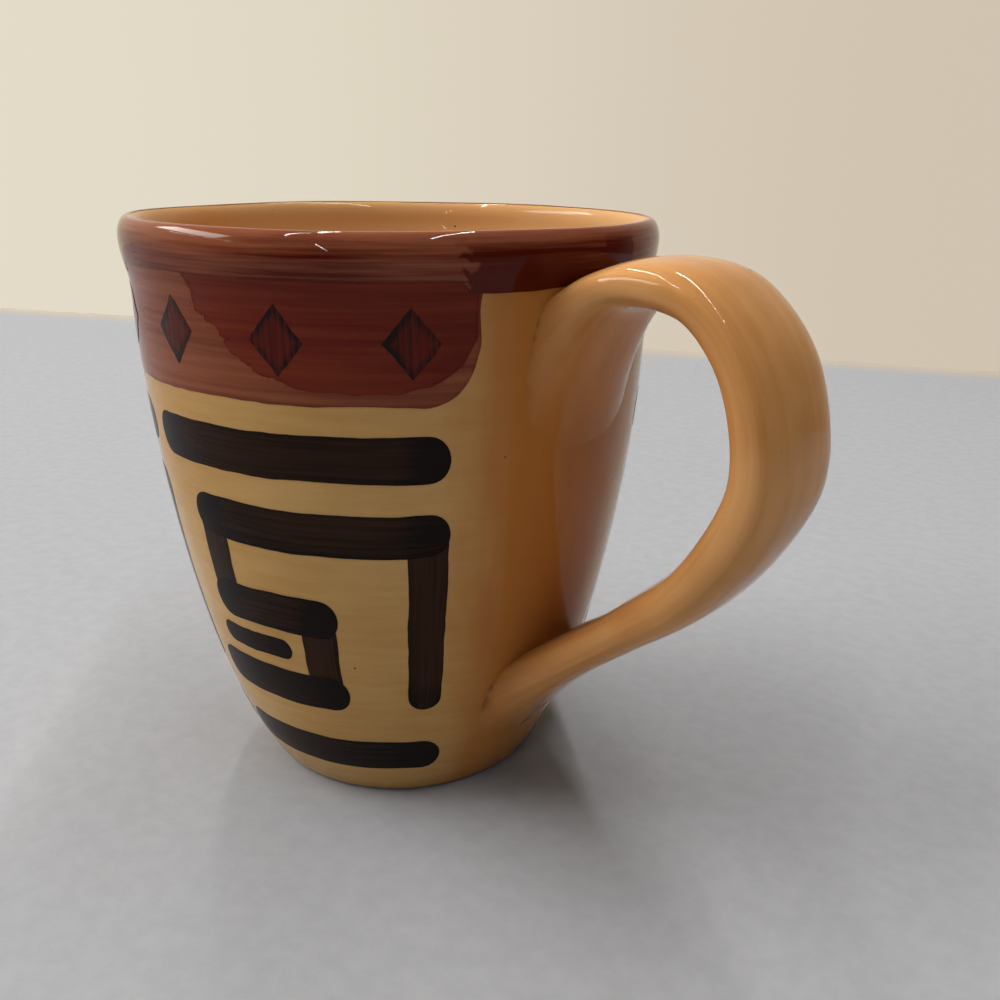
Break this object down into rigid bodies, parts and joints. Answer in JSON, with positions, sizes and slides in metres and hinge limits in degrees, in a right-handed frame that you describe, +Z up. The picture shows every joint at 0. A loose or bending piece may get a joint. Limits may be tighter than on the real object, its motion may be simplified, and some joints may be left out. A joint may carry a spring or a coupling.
{
  "type": "mug",
  "caption": "Thrown stoneware mug with a rounded belly, a flared dark rim, a pulled strap handle smoothed onto the wall, and brushed slip bands, hooks and lozenges.",
  "frame": {"origin": "middle of the foot's resting face, on the axis of the cup", "axes": "+Z up along the axis of the cup, +X towards the handle, +Y to the left of the handle seen from outside it"},
  "size_m": [0.1369, 0.0992, 0.1082],
  "materials": {
    "honey_glaze": "glossy honey tan glaze over stoneware, bare clay on the foot ring",
    "amber_glaze": "glossy amber glaze, brushed on in streaks",
    "rim_slip": "glossy dark red-brown slip",
    "band_slip": "glossy red-brown slip with brush streaks",
    "wash_slip": "glossy maroon slip with brush streaks",
    "lozenge_slip": "glossy near-black slip",
    "brush_slip": "glossy near-black brown slip, thin in the middle of a stroke"
  },
  "bodies": {
    "root": {"body": "honey_glaze", "handle": "amber_glaze", "upper_root_clay": "amber_glaze", "lower_root_clay": "amber_glaze", "rim_line": "rim_slip", "side_band": "band_slip", "band_wash": "wash_slip", "band_lozenges": "lozenge_slip", "square_hooks": "brush_slip", "long_bars": "brush_slip", "short_dashes": "brush_slip"}
  },
  "joints": []
}
